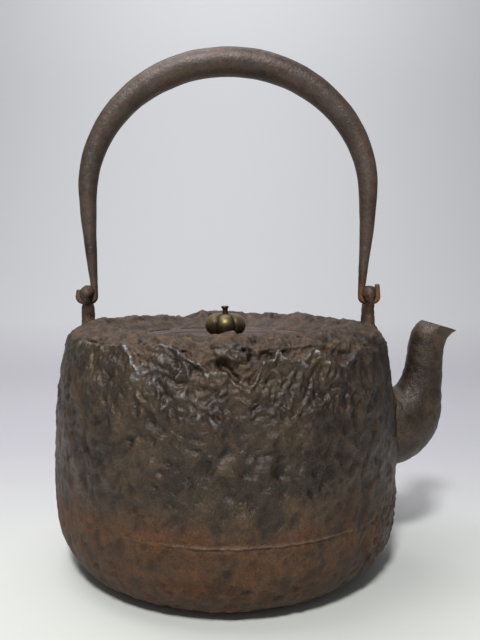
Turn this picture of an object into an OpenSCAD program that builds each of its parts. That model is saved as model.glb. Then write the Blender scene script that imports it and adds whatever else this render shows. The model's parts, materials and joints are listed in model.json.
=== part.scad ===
// Cast iron kettle with a cast spout, a swinging hollow iron bail and a loose bronze lid.
// Millimetres, +Z up, +X towards the spout. The origin is the centre of the flat base.

/* [Body] */
// Greatest outside radius, a little above the mould seam
body_r = 74.2; // [70:0.2:80]
// Radius where the wall has rounded over into the shoulder
shoulder_r = 64.4; // [62:0.2:66]
// Height of the shoulder
shoulder_z = 101.4; // [98:0.2:103]
// Height at which the wall is widest
belly_z = 33.8; // [32.8:0.2:36]
// Radius of the flat that the kettle stands on
base_r = 50; // [44:1:54]
// Thickness of the cast wall
wall = 3.2; // [2.6:0.1:3.6]
// Radius of the mouth that the lid closes
mouth_r = 36.5; // [34:0.5:37]

/* [Lid] */
// Radius of the lid
lid_r = 40.7; // [38:0.1:41.2]
// Height of the ledge that the lid lies on
seat_z = 94; // [92:0.5:95]
// Radius of the brass knob over its lobes
knob_r = 9.5; // [9:0.1:10]
// Number of lobes round the knob
knob_lobes = 6; // [6:1:10]

/* [Bail] */
// Height of the line that the bail swings about
pivot_z = 112; // [111:0.2:114]
// Distance from that line up to the middle of the grip
bail_rise = 103.5; // [98:0.5:115]
// Half the distance between the middles of the bail's two sides, where it is widest
bail_half_w = 61.5; // [60.8:0.1:64]
// Radius of the grip at the top
grip_r = 6.2; // [5:0.1:7]
// Radius of the grip where the arch meets the legs
side_r = 4.05; // [3.6:0.05:4.6]
// Distance of the bail's middle from the kettle's axis
bail_shift = 1.1; // [0:0.1:1.5]

/* [Spout] */
// Thickness of the spout's wall
spout_wall = 2.4; // [1.8:0.1:2.6]
// Radius of the hole from the kettle into the spout
spout_hole_r = 11; // [8:0.5:12]

/* [Hidden] */

iron = "#4a3f38";
forged = "#57493f";
bronze = "#5f4a42";
brass = "#7a6a3c";

// Body outline
base_curve = 2.4;        // how square the corner from base to wall is, 2 being round
shoulder_curve = 2.15;   // the same for the wall and shoulder
floor_t = 3.6;
seam_z = 31.6;
seam_half = 0.6;         // half the width of the ridge along the mould seam
seam_h = 0.45;           // how far that ridge stands out
crest = [56, 104.4];     // top of the raised rim
crest_outer = [60.5, 103.4];
crest_inner = [53, 103.4];
rim_foot = [45, 97.6];   // where the rim falls to the lid's recess
recess_r = 41.8;
ledge_t = 3.4;
steps = 14;              // points along each quarter of the outline

// Lid and what is pinned to it
field_t = 1.6;           // thickness of the sunken middle
band_t = 2.4;            // thickness of the band round it
band_w = 9.5;
edge_round = 0.35;
collar_r = mouth_r - 0.7;
collar_t = 1.8;
collar_h = 5.5;
seat_t = 0.8;
petal_r = 2.1;
petal_ring_r = 4.1;
knob_gap = 0.12;         // play between the knob and its seat
lobe_r = 4.9;
core_r = 3;
core_h = 8;
pin_r = 1.1;
pin_fit = 0.07;          // running fit of the pin in the knob
stalk_r = 1.25;
stalk_flare_r = 1.7;
stalk_flare_t = 0.7;
stalk_h = 4.2;
washer_t = 0.7;
washer_r = 4.6;
leg_t = 0.8;
leg_l = 6.5;
leg_w = 1.8;
field_z = seat_z + field_t;
knob_z = field_z + seat_t + knob_gap + lobe_r;
knob_top_z = knob_z + core_h / 2 + knob_gap;

// Bail and ears, x measured from the bail's own middle
ear_x = 62.7;
ear_t = 3.2;
ear_head_r = 5.5;
ear_head_z = pivot_z + 1.2;
ear_foot = [7.2, 12];    // size of the ear's foot on the shoulder
ear_neck_w = 8;
hook_r = 1.5;
bore_r = hook_r + 0.09;
leg_x = 59.2;
tip_x = 66.2;
bend_r = 1.8;
tip_end_r = 1.05;
spout_side_tip_z = pivot_z + 7.4;
far_side_tip_z = pivot_z + 5;
foot_z = pivot_z + 5;    // where the legs start to widen
weld_z = pivot_z + 24;   // where the hollow grip is welded to the solid hooks
side_z = pivot_z + 47.5; // where the legs meet the arch
crown_z = pivot_z + bail_rise;
sheet_t = 1.2;
arch_share = 0.8;        // part of the path that is arch, the rest being leg
bail_rings = 44;
bail_sides = 20;
leg_lean = (bail_half_w - leg_x) / (weld_z - foot_z + (side_z - weld_z) / 2);

// Spout sections. The first two numbers are the outer side, x from the widest wall and z,
// the next two are the inner side, and the last is half the width.
spout_sections = [
    [0, 38.2, -1, 72.9, 15],
    [7.3, 40.6, 1.8, 73.3, 13.6],
    [14.4, 45.6, 3.4, 74.8, 11.8],
    [19.4, 52.6, 4.8, 77.6, 10.2],
    [22, 62.4, 5.8, 81.2, 9],
    [22.2, 74, 6.7, 85.4, 8.1],
    [22.5, 85, 7.5, 91.4, 7.6],
    [23.7, 93.6, 8.7, 97.2, 7.4],
    [25.6, 96.9, 10.6, 101, 7.3],
    [28.2, 98.9, 13.4, 103.4, 7.1],
];
spout_sides = 28;
spout_steps = 3;         // rings for each section
spout_root = 1.6;        // how deep the spout is set into the wall
spout_thinning = 0.8;    // how much thinner the wall is at the mouth
spout_pinch = 0.35;      // how far the pouring lip is drawn in
spout_hole_z = 56;

// A quarter of a superellipse about c with radii r, from angle a0 to a1
function quarter(c, r, n, a0, a1) = [
    for (i = [0:steps])
        let (a = a0 + (a1 - a0) * i / steps)
        c + [r[0] * pow(abs(cos(a)), 2 / n), sign(a) * r[1] * pow(abs(sin(a)), 2 / n)]
];

// Radius of a superellipse's arc that runs from r_out to r_in over a share t of its height
function arc_r(r_in, r_out, n, t) = r_in + (r_out - r_in) * pow(1 - pow(t, n), 1 / n);

// Outside radius of the wall above and below its widest place
function wall_r(z) =
    arc_r(shoulder_r, body_r, shoulder_curve, (z - belly_z) / (shoulder_z - belly_z));
function corner_r(z) = arc_r(base_r, body_r, base_curve, (belly_z - z) / belly_z);

// The outside from the base to the rim's crest, with the thin ridge of the mould seam
function outside() = concat(
    [
        for (p = quarter([base_r, belly_z], [body_r - base_r, belly_z], base_curve, -90, 0))
            if (p[1] < seam_z - 2 * seam_half) p
    ],
    [
        [corner_r(seam_z - seam_half), seam_z - seam_half],
        [corner_r(seam_z) + seam_h, seam_z],
        [corner_r(seam_z + seam_half), seam_z + seam_half],
    ],
    quarter([shoulder_r, belly_z], [body_r - shoulder_r, shoulder_z - belly_z], shoulder_curve, 0, 90),
    [crest_outer, crest, crest_inner]
);

// The inside, from the floor up to the edge of the mouth
function inside() = concat(
    quarter([base_r - 2, belly_z], [body_r - wall - base_r + 2, belly_z - floor_t], base_curve, -90, -1),
    quarter([shoulder_r - wall, belly_z], [body_r - shoulder_r, shoulder_z - belly_z - wall],
            shoulder_curve, 0, 90),
    [
        [crest[0], crest[1] - 5],
        [rim_foot[0] + 2, rim_foot[1] - 3.4],
        [mouth_r + 2, seat_z - ledge_t],
        [mouth_r, seat_z - ledge_t],
    ]
);

function backwards(list) = [for (i = [len(list) - 1:-1:0]) list[i]];
function flat(lists) = [for (l = lists) each l];

module kettle_body() {
    color(iron)
        difference() {
            rotate_extrude($fn = 180)
                polygon(concat(
                    [[0, 0]],
                    outside(),
                    [
                        rim_foot,
                        [recess_r + 0.8, rim_foot[1] - 0.6],
                        [recess_r, rim_foot[1] - 1.4],
                        [recess_r, seat_z],
                        [mouth_r, seat_z],
                    ],
                    backwards(inside()),
                    [[0, floor_t]]
                ));
            translate([body_r - 3 * wall, 0, spout_hole_z])
                rotate([0, 90, 0])
                    cylinder(h = 4 * wall, r = spout_hole_r, $fn = 96);
        }
}

// Faces of a tube made of rings, the last ring joined back to the first
function tube_faces(rings, sides) = [
    for (i = [0:rings - 1], j = [0:sides - 1])
        let (
            a = i * sides + j,
            b = i * sides + (j + 1) % sides,
            c = ((i + 1) % rings) * sides + (j + 1) % sides,
            d = ((i + 1) % rings) * sides + j
        )
        each [[a, b, c], [a, c, d]]
];

// A smooth curve through a list of rows, t being counted in rows
function through(rows, t) =
    let (
        last = len(rows) - 1,
        i = min(floor(t), last - 1),
        u = t - i,
        p0 = rows[max(i - 1, 0)],
        p1 = rows[i],
        p2 = rows[i + 1],
        p3 = rows[min(i + 2, last)]
    )
    0.5 * (2 * p1 + (p2 - p0) * u + (2 * p0 - 5 * p1 + 4 * p2 - p3) * pow(u, 2)
        + (3 * p1 - p0 - 3 * p2 + p3) * pow(u, 3));

// One ring of the spout, a distance in from its outer surface. The first follows the wall.
function spout_ring(t, inset) =
    let (
        s = through(spout_sections, t),
        half = [s[0] - s[2], s[1] - s[3]] / 2,
        mid = [body_r, 0] + [s[0] + s[2], s[1] + s[3]] / 2,
        shrink = 1 - inset / norm(half),
        pinch = spout_pinch * pow(max(0, t - len(spout_sections) + 3) / 2, 2)
    )
    [
        for (j = [0:spout_sides - 1])
            let (
                a = 360 * j / spout_sides,
                xz = mid + half * shrink * cos(a),
                y = (inset - s[4]) * sin(a) * (1 - pinch * max(0, cos(a)))
            )
            [t == 0 ? sqrt(pow(wall_r(xz[1]), 2) - pow(y, 2)) - spout_root : xz[0], y, xz[1]]
    ];

module spout() {
    rings = (len(spout_sections) - 1) * spout_steps;
    outer = [for (k = [0:rings]) spout_ring(k / spout_steps, 0)];
    inner = [
        for (k = [rings:-1:0])
            spout_ring(k / spout_steps, spout_wall - spout_thinning * k / rings)
    ];
    color(iron)
        polyhedron(
            points = flat(concat(outer, inner)),
            faces = tube_faces(2 * (rings + 1), spout_sides),
            convexity = 6
        );
}

// A pierced ear on a flared foot. The foot is set into the shoulder.
module ear() {
    color(iron)
        difference() {
            union() {
                translate([ear_x - ear_t / 2, 0, ear_head_z])
                    rotate([0, 90, 0])
                        cylinder(h = ear_t, r = ear_head_r, $fn = 64);
                hull() {
                    translate([ear_x - 0.5 - ear_foot[0] / 2, -ear_foot[1] / 2, shoulder_z - 2.2])
                        cube([ear_foot[0], ear_foot[1], 3]);
                    translate([ear_x - ear_t / 2, -ear_neck_w / 2, pivot_z - 4])
                        cube([ear_t, ear_neck_w, 1]);
                }
            }
            translate([ear_x - ear_t, 0, pivot_z])
                rotate([0, 90, 0])
                    cylinder(h = 2 * ear_t, r = bore_r, $fn = 64);
        }
}

module spout_side_ear() {
    translate([bail_shift, 0, 0])
        ear();
}

module far_side_ear() {
    translate([bail_shift, 0, 0])
        mirror([1, 0, 0])
            ear();
}

// Radius of a leg at a height
function leg_r(z) = hook_r + (side_r - hook_r) * (z - foot_z) / (side_z - foot_z);

// Middle of the bail and its radius, as [x, z, r], with u from 0 at the top to 1 at the weld
function bail_at(u) =
    u < arch_share
        ? let (a = 90 * (1 - u / arch_share))
            [bail_half_w * cos(a), side_z + (crown_z - side_z) * sin(a), side_r + (grip_r - side_r) * sin(a)]
        : let (
            z = side_z - (side_z - weld_z) * (u - arch_share) / (1 - arch_share),
            x = bail_half_w - leg_lean * pow(side_z - z, 2) / (2 * (side_z - weld_z))
        )
            [x, z, leg_r(z)];

// One ring of the grip, u running from -1 at the far side to 1 at the spout side
function grip_ring(u, inset) =
    let (
        p = bail_at(abs(u)),
        ahead = bail_at(abs(u) + 0.001) - bail_at(max(0, abs(u) - 0.001)),
        slope = abs(u) == 1 ? [-leg_lean, -1] : u == 0 ? [1, 0] : [ahead[0], ahead[1]],
        along = slope / norm(slope),
        out = [-along[1], along[0]],
        side = u < 0 ? -1 : 1
    )
    [
        for (j = [0:bail_sides - 1])
            let (
                a = 360 * j / bail_sides,
                r = p[2] - inset,
                xz = [p[0], p[1]] + out * r * cos(a)
            )
            [bail_shift + side * xz[0], r * sin(a), xz[1]]
    ];

module bail_grip() {
    outer = [for (k = [-bail_rings:2:bail_rings]) grip_ring(k / bail_rings, 0)];
    inner = [for (k = [bail_rings:-2:-bail_rings]) grip_ring(k / bail_rings, sheet_t)];
    color(forged)
        polyhedron(
            points = flat(concat(outer, inner)),
            faces = tube_faces(2 * (bail_rings + 1), bail_sides),
            convexity = 6
        );
}

// A quarter bend of wire in the XZ plane about the origin, starting at an angle
module bend(start) {
    rotate([90, 0, 0])
        rotate([0, 0, start])
            rotate_extrude(angle = 90, $fn = 96)
                translate([bend_r, 0])
                    circle(r = hook_r, $fn = 32);
}

// The solid end of a leg: it goes through the ear from the inside and turns up outside it
module hook(tip_z) {
    lean = atan(leg_lean);
    color(forged)
        union() {
            translate([leg_x, 0, foot_z])
                rotate([0, lean, 0])
                    cylinder(h = (weld_z - foot_z) / cos(lean), r1 = hook_r, r2 = leg_r(weld_z), $fn = 48);
            translate([leg_x, 0, pivot_z + bend_r])
                cylinder(h = foot_z - pivot_z - bend_r, r = hook_r, $fn = 48);
            translate([leg_x + bend_r, 0, pivot_z + bend_r])
                bend(180);
            translate([leg_x + bend_r, 0, pivot_z])
                rotate([0, 90, 0])
                    cylinder(h = tip_x - leg_x - 2 * bend_r, r = hook_r, $fn = 48);
            translate([tip_x - bend_r, 0, pivot_z + bend_r])
                bend(270);
            translate([tip_x, 0, pivot_z + bend_r])
                cylinder(h = tip_z - pivot_z - bend_r, r1 = hook_r, r2 = tip_end_r, $fn = 48);
        }
}

module spout_side_hook() {
    translate([bail_shift, 0, 0])
        hook(spout_side_tip_z);
}

module far_side_hook() {
    translate([bail_shift, 0, 0])
        mirror([1, 0, 0])
            hook(far_side_tip_z);
}

module pin_hole() {
    translate([0, 0, seat_z - 10])
        cylinder(h = 30, r = pin_r + pin_fit, $fn = 48);
}

// A disc with a raised band round a sunken middle
module lid() {
    band_z = seat_z + band_t;
    color(bronze)
        difference() {
            rotate_extrude($fn = 180)
                polygon([
                    [0, seat_z],
                    [lid_r, seat_z],
                    [lid_r, band_z - edge_round],
                    [lid_r - edge_round, band_z],
                    [lid_r - band_w, band_z],
                    [lid_r - band_w - 2 * edge_round, field_z],
                    [0, field_z],
                ]);
            pin_hole();
        }
}

// The ring under the lid that keeps it in the mouth
module lid_collar() {
    color(bronze)
        translate([0, 0, seat_z - collar_h])
            difference() {
                cylinder(h = collar_h, r = collar_r, $fn = 180);
                translate([0, 0, -1])
                    cylinder(h = collar_h + 2, r = collar_r - collar_t, $fn = 180);
            }
}

// A washer cut like a five-petalled blossom
module knob_seat() {
    color(brass)
        difference() {
            translate([0, 0, field_z])
                linear_extrude(seat_t)
                    union() {
                        circle(r = petal_ring_r, $fn = 64);
                        for (a = [0:72:288])
                            rotate(a)
                                translate([petal_ring_r, 0])
                                    circle(r = petal_r, $fn = 48);
                    }
            pin_hole();
        }
}

module knob() {
    color(brass)
        difference() {
            translate([0, 0, knob_z])
                union() {
                    translate([0, 0, -core_h / 2])
                        cylinder(h = core_h, r = core_r, $fn = 48);
                    for (i = [0:knob_lobes - 1])
                        rotate([0, 0, 360 * (i + 0.5) / knob_lobes])
                            translate([knob_r - lobe_r, 0, 0])
                                sphere(r = lobe_r, $fn = 48);
                }
            pin_hole();
        }
}

// The stalk of the knob is the head of a split pin, and its two legs are opened under the lid
module knob_pin() {
    legs_z = seat_z - washer_t - leg_t;
    color(brass)
        union() {
            translate([0, 0, legs_z])
                cylinder(h = knob_top_z - legs_z, r = pin_r, $fn = 48);
            translate([0, 0, knob_top_z])
                cylinder(h = stalk_flare_t, r = stalk_flare_r, $fn = 48);
            translate([0, 0, knob_top_z])
                cylinder(h = stalk_h, r = stalk_r, $fn = 48);
            translate([-leg_l, -leg_w / 2, legs_z])
                cube([2 * leg_l, leg_w, leg_t]);
        }
}

module pin_washer() {
    color(brass)
        difference() {
            translate([0, 0, seat_z - washer_t])
                cylinder(h = washer_t, r = washer_r, $fn = 64);
            pin_hole();
        }
}

kettle_body();
spout();
spout_side_ear();
far_side_ear();
bail_grip();
spout_side_hook();
far_side_hook();
lid();
lid_collar();
knob_seat();
knob();
knob_pin();
pin_washer();
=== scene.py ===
# Cast iron kettle: rock-skinned body, spout and ears, forged bail, bronze lid, brass knob.
# The pieces are worked out in millimetres and brought to metres as each one is finished.
import json
import math

import bmesh
import bpy
import numpy
from mathutils import Matrix, Vector, noise


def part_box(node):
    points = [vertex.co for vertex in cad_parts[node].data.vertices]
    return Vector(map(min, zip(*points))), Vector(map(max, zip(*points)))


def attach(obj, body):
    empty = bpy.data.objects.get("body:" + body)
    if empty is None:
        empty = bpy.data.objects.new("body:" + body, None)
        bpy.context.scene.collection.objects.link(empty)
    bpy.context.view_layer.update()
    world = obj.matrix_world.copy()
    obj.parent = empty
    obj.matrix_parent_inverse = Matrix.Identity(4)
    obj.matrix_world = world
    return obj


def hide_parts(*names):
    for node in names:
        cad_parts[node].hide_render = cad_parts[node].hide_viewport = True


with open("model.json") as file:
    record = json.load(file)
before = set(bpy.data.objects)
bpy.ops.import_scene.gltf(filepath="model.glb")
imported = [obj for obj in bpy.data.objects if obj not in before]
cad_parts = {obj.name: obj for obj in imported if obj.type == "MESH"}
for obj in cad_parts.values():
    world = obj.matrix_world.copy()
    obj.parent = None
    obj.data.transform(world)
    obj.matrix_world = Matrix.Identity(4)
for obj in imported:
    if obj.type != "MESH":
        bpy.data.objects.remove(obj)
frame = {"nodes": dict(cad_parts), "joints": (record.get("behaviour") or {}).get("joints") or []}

noise.seed_set(1)  # without it noise_vector takes its offsets from the clock
mm = 0.001
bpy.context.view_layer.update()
nodes = frame["nodes"]
pivotZ = next(j for j in frame["joints"] if j["name"] == "bail_swing")["pos_m"][2] / mm
print("frame loaded:", len(nodes), "nodes")


def boxMm(node):
    low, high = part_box(node)
    return low / mm, high / mm


def linear(hexColour):
    parts = [int(hexColour[k : k + 2], 16) / 255 for k in (1, 3, 5)]
    return tuple(c / 12.92 if c <= 0.04045 else ((c + 0.055) / 1.055) ** 2.4 for c in parts) + (1.0,)


def smooth(low, high, value):
    t = min(max((value - low) / (high - low), 0.0), 1.0)
    return t * t * (3 - 2 * t)


# a new shader node: its options are set first, then each socket gets its value or a link from another node
def addNode(tree, kind, sockets=None, **options):
    node = tree.nodes.new("ShaderNode" + kind)
    for name, value in options.items():
        setattr(node, name, value)
    for name, value in (sockets or {}).items():
        if isinstance(value, bpy.types.NodeSocket):
            tree.links.new(value, node.inputs[name])
        else:
            node.inputs[name].default_value = value
    return node


def newMaterial(name):
    material = bpy.data.materials.new(name)
    material.use_nodes = True
    material.node_tree.nodes.clear()
    return material, material.node_tree


def objectPlace(tree):
    return addNode(tree, "TexCoord").outputs["Object"]


def attribute(tree, name):
    return addNode(tree, "Attribute", attribute_name=name).outputs["Fac"]


def noiseField(tree, place, sizeMm, detail, roughness=0.5):
    sockets = {"Vector": place, "Scale": 1 / (sizeMm * mm), "Detail": detail, "Roughness": roughness}
    return addNode(tree, "TexNoise", sockets).outputs["Fac"]


# the value, with start to end brought to low to high
def ranged(tree, value, start, end, low=0.0, high=1.0, **options):
    sockets = {"Value": value, "From Min": start, "From Max": end, "To Min": low, "To Max": high}
    return addNode(tree, "MapRange", sockets, **options).outputs["Result"]


def maths(tree, operation, *terms, clamp=False):
    sockets = dict(enumerate(terms))
    return addNode(tree, "Math", sockets, operation=operation, use_clamp=clamp).outputs["Value"]


# from the first colour to the second, by a share from 0 to 1
def tinted(tree, share, first, second):
    return addNode(tree, "Mix", {0: share, 6: first, 7: second}, data_type="RGBA").outputs[2]


# the same for two numbers
def eased(tree, share, first, second):
    return addNode(tree, "Mix", {0: share, 2: first, 3: second}).outputs[0]


def ramp(tree, value, *stops):
    node = addNode(tree, "ValToRGB", {"Fac": value})
    for element, (position, colour) in zip(node.color_ramp.elements, stops):
        element.position, element.color = position, colour
    return node.outputs["Color"]


def scaled(tree, colour, factor):
    return addNode(tree, "VectorMath", {0: colour, "Scale": factor}, operation="SCALE").outputs["Vector"]


# a bump on top of the normal below it
def bump(tree, height, strength, distanceMm, below=None):
    sockets = {"Height": height, "Strength": strength, "Distance": distanceMm * mm}
    if below is not None:
        sockets["Normal"] = below
    return addNode(tree, "Bump", sockets).outputs["Normal"]


def finishMaterial(tree, sockets):
    shader = addNode(tree, "BsdfPrincipled", sockets)
    addNode(tree, "OutputMaterial", {"Surface": shader.outputs["BSDF"]})


# Rock-skinned cast iron: dark grey-brown oxide, blue-black in the hollows, rubbed bright on the crags,
# and dull red-brown rust low on the belly and on the shoulder. Painted shade darkens its pores and low
# places. The eye sees dull metal with hard glints.
ironLook = {
    "oxideDark": "#34291f", "oxideBrown": "#524230", "hollow": "#201a14", "worn": "#a9acb0",
    "rustDeep": "#44291a", "rustPale": "#6f4a2b", "shoulder": "#715a45", "shoulderDark": "#3b2f25",
    "seam": "#86735f",
    "patchMm": 13.0, "mottleMm": 3.6, "cragMm": 2.4, "grainMm": 0.85, "sandMm": 0.6,
    # roughness of the calm and of the rugged oxide, and of rust, shoulder and rubbed crags
    "calmRough": 0.56, "ruggedRough": 0.26, "rustRough": 0.8, "shoulderRough": 0.78, "wornRough": 0.36,
    "metallic": 0.3, "wornMetallic": 0.85, "wornShare": 0.7,
    "sandBumpMm": 0.08, "grainBumpMm": 0.27, "cragBumpMm": 0.24, "mottleBumpMm": 0.3,
}


def castIron(name, look):
    material, tree = newMaterial(name)
    place = objectPlace(tree)
    attributes = ("relief", "rust", "shoulder", "seam", "rugged")
    relief, rust, shoulder, seam, rugged = (attribute(tree, n) for n in attributes)
    patches = noiseField(tree, place, look["patchMm"], 4.0, 0.6)
    mottle = noiseField(tree, place, look["mottleMm"], 5.0, 0.62)
    crags = noiseField(tree, place, look["cragMm"], 5.0, 0.7)
    grain = noiseField(tree, place, look["grainMm"], 3.0, 0.6)
    sand = addNode(tree, "TexVoronoi", {"Vector": place, "Scale": 1 / (look["sandMm"] * mm)})
    ridges = ranged(tree, crags, 0.3, 0.7)
    # oxide, brown in patches
    patchMask = ramp(tree, patches, (0.4, linear("#000000")), (0.64, linear("#ffffff")))
    oxide = tinted(tree, patchMask, linear(look["oxideDark"]), linear(look["oxideBrown"]))
    # hollows go blue-black
    hollowed = tinted(tree, ranged(tree, relief, 0.42, 0.08, 0.0, 0.4), oxide, linear(look["hollow"]))
    # rust, in two tones
    rustTone = tinted(tree, mottle, linear(look["rustDeep"]), linear(look["rustPale"]))
    rustEdge = maths(tree, "MULTIPLY_ADD", mottle, 1.6, -0.8)
    rustSum = maths(tree, "ADD", rust, rustEdge, clamp=True)
    rustMask = maths(tree, "MULTIPLY", rustSum, rust, clamp=True)
    rusted = tinted(tree, rustMask, hollowed, rustTone)
    # the shoulder above the rock layer, least where it is raised
    shoulderKeep = ranged(tree, relief, 0.75, 0.45, 0.35, 0.95)
    shoulderMask = maths(tree, "MULTIPLY", shoulder, shoulderKeep, clamp=True)
    shoulderTone = tinted(tree, ridges, linear(look["shoulderDark"]), linear(look["shoulder"]))
    browned = tinted(tree, shoulderMask, rusted, shoulderTone)
    # wear on the crags, broken up by the finer ridges
    wearBase = ranged(tree, relief, 0.68, 1.0)
    wearBreak = ranged(tree, ridges, 0.25, 0.8)
    wear = maths(tree, "MULTIPLY", wearBase, wearBreak, clamp=True)
    worn = tinted(tree, maths(tree, "MULTIPLY", wear, look["wornShare"]), browned, linear(look["worn"]))
    seamed = tinted(tree, seam, worn, linear(look["seam"]))
    # fine light and dark flecks, and painted shade that darkens the pores and other low places
    fleck = ranged(tree, grain, 0.3, 0.7, 0.62, 1.3)
    paintedPoreShade = ranged(tree, relief, 0.0, 0.34, 0.6, 1.0)
    shade = scaled(tree, seamed, maths(tree, "MULTIPLY", fleck, paintedPoreShade))
    # matte rust, satin oxide, shinier crags
    uneven = maths(tree, "MULTIPLY_ADD", mottle, 0.5, -0.1)
    polish = maths(tree, "SUBTRACT", rugged, uneven)
    roughOxide = ranged(tree, polish, 0.1, 0.8, look["calmRough"], look["ruggedRough"])
    roughRust = eased(tree, rustMask, roughOxide, look["rustRough"])
    roughShoulder = eased(tree, shoulderMask, roughRust, look["shoulderRough"])
    roughness = eased(tree, wear, roughShoulder, look["wornRough"])
    gain = look["wornMetallic"] - look["metallic"]
    metallic = maths(tree, "MULTIPLY_ADD", wear, gain, look["metallic"], clamp=True)
    sandy = bump(tree, sand.outputs["Distance"], 0.6, look["sandBumpMm"])
    grainy = bump(tree, grain, 1.0, look["grainBumpMm"], sandy)
    craggy = bump(tree, maths(tree, "MULTIPLY", ridges, rugged), 1.0, look["cragBumpMm"], grainy)
    mottled = bump(tree, mottle, 0.7, look["mottleBumpMm"], craggy)
    finishMaterial(tree, {
        "Base Color": shade, "Roughness": roughness, "Metallic": metallic, "Normal": mottled,
        "Specular IOR Level": 0.5,
    })
    return material


# Forged iron: hammered smooth, then oxidised and handled. Satin grey-brown, with a soft sheen
# and small rust freckles.
forgedLook = {
    "oxide": "#4a423b", "dark": "#2c2723", "rust": "#5f412e", "hot": "#84522f",
    "patchMm": 14.0, "fleckMm": 2.4, "grainMm": 0.9,
    "roughLow": 0.39, "roughHigh": 0.56, "rustRough": 0.85, "metallic": 0.3,
    "grainBumpMm": 0.25, "fleckBumpMm": 0.7,
}


def forgedIron(name, look):
    material, tree = newMaterial(name)
    place = objectPlace(tree)
    patches = noiseField(tree, place, look["patchMm"], 5.0, 0.65)
    flecks = noiseField(tree, place, look["fleckMm"], 4.0, 0.65)
    grain = noiseField(tree, place, look["grainMm"], 2.0)
    tone = ramp(tree, patches, (0.36, linear(look["dark"])), (0.62, linear(look["oxide"])))
    freckled = tinted(tree, ranged(tree, flecks, 0.56, 0.72, 0.0, 0.7), tone, linear(look["rust"]))
    # orange rust near the hinge line
    rustMask = maths(tree, "MULTIPLY", attribute(tree, "rust"), flecks, clamp=True)
    hotMask = maths(tree, "MULTIPLY", rustMask, 1.7, clamp=True)
    rusted = tinted(tree, hotMask, freckled, linear(look["hot"]))
    shade = scaled(tree, rusted, ranged(tree, grain, 0.3, 0.7, 0.8, 1.15))
    roughBase = ranged(tree, flecks, 0.3, 0.7, look["roughLow"], look["roughHigh"])
    roughness = eased(tree, hotMask, roughBase, look["rustRough"])
    fine = bump(tree, grain, 0.5, look["grainBumpMm"])
    hammered = bump(tree, flecks, 0.6, look["fleckBumpMm"], fine)
    finishMaterial(tree, {
        "Base Color": shade, "Roughness": roughness, "Metallic": look["metallic"], "Normal": hammered,
    })
    return material


# Cast bronze with an old lacquered patina: purplish brown, satin, rubbed lighter on the lip.
bronzeLook = {"deep": "#432f28", "pale": "#664c42", "rubbed": "#7c6358", "patchMm": 9.0, "fineMm": 1.4}
# Cast brass, aged: olive-brown in the grooves and where the hand misses, yellow where it is rubbed.
brassLook = {"deep": "#352e22", "pale": "#5d5032", "rubbed": "#766741", "patchMm": 3.0, "fineMm": 0.6}


def agedAlloy(name, look, metallic, roughLow, roughHigh, crowned):
    material, tree = newMaterial(name)
    place = objectPlace(tree)
    patches = noiseField(tree, place, look["patchMm"], 4.0, 0.6)
    fine = noiseField(tree, place, look["fineMm"], 4.0, 0.6)
    tone = tinted(tree, patches, linear(look["deep"]), linear(look["pale"]))
    if crowned:  # the attribute is 1 on the crown of a lobe or lip, and 0 in a groove
        crown = attribute(tree, "crown")
        sunken = tinted(tree, crown, linear(look["deep"]), tone)
        tone = tinted(tree, ranged(tree, crown, 0.6, 1.0, 0.0, 0.8), sunken, linear(look["rubbed"]))
    shade = scaled(tree, tone, ranged(tree, fine, 0.3, 0.7, 0.82, 1.15))
    roughness = ranged(tree, patches, 0.3, 0.7, roughLow, roughHigh)
    normal = bump(tree, fine, 0.4, 0.12)
    finishMaterial(tree, {
        "Base Color": shade, "Roughness": roughness, "Metallic": metallic, "Normal": normal,
    })
    return material


rockIron = castIron("rockSkinnedCastIron", ironLook)
handledIron = forgedIron("forgedBailIron", forgedLook)
lidBronze = agedAlloy("patinatedBronze", bronzeLook, 0.55, 0.34, 0.5, True)
plainBronze = agedAlloy("patinatedBronzeUnderside", bronzeLook, 0.55, 0.4, 0.6, False)
knobBrass = agedAlloy("agedBrass", brassLook, 0.65, 0.36, 0.52, True)
plainBrass = agedAlloy("agedBrassFittings", brassLook, 1.0, 0.3, 0.45, False)
print("materials made")


# even steps along a chain of points
def evenly(points, step):
    points = [Vector(p) for p in points]
    gone = [0.0]
    for a, b in zip(points, points[1:]):
        gone.append(gone[-1] + (b - a).length)
    count = max(1, round(gone[-1] / step))
    result = []
    for k in range(count + 1):
        t = gone[-1] * k / count
        i = min(max(i for i, g in enumerate(gone) if g <= t + 1e-9), len(points) - 2)
        share = (t - gone[i]) / max(gone[i + 1] - gone[i], 1e-9)
        result.append(points[i].lerp(points[i + 1], share))
    return result


def quarter(centre, radii, power, start, end, steps=48):
    result = []
    for k in range(steps + 1):
        a = start + (end - start) * k / steps
        c, s = math.cos(a), math.sin(a)
        result.append(Vector((centre[0] + radii[0] * abs(c) ** (2 / power),
                              centre[1] + math.copysign(radii[1] * abs(s) ** (2 / power), s))))
    return result


# a smooth curve through rows of numbers, t counted in rows
def through(rows, t):
    i = min(int(t), len(rows) - 2)
    u = t - i
    p0, p1, p2, p3 = (Vector(rows[min(max(i + k, 0), len(rows) - 1)]) for k in (-1, 0, 1, 2))
    straight = 2 * p1 + (p2 - p0) * u
    squared = (2 * p0 - 5 * p1 + 4 * p2 - p3) * u * u
    return 0.5 * (straight + squared + (3 * p1 - p0 - 3 * p2 + p3) * u ** 3)


def finishPiece(bm, name, body, slot, material, *stoodFor, flatShade=False):
    for face in bm.faces:
        face.smooth = not flatShade
    bmesh.ops.scale(bm, vec=(mm, mm, mm), verts=bm.verts)
    mesh = bpy.data.meshes.new(name)
    bm.to_mesh(mesh)
    bm.free()
    mesh.materials.append(material)
    piece = bpy.data.objects.new(name, mesh)
    bpy.context.scene.collection.objects.link(piece)
    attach(piece, body)
    if stoodFor:
        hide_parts(*stoodFor)
    print("made", name, len(mesh.polygons), "faces")
    return piece


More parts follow.
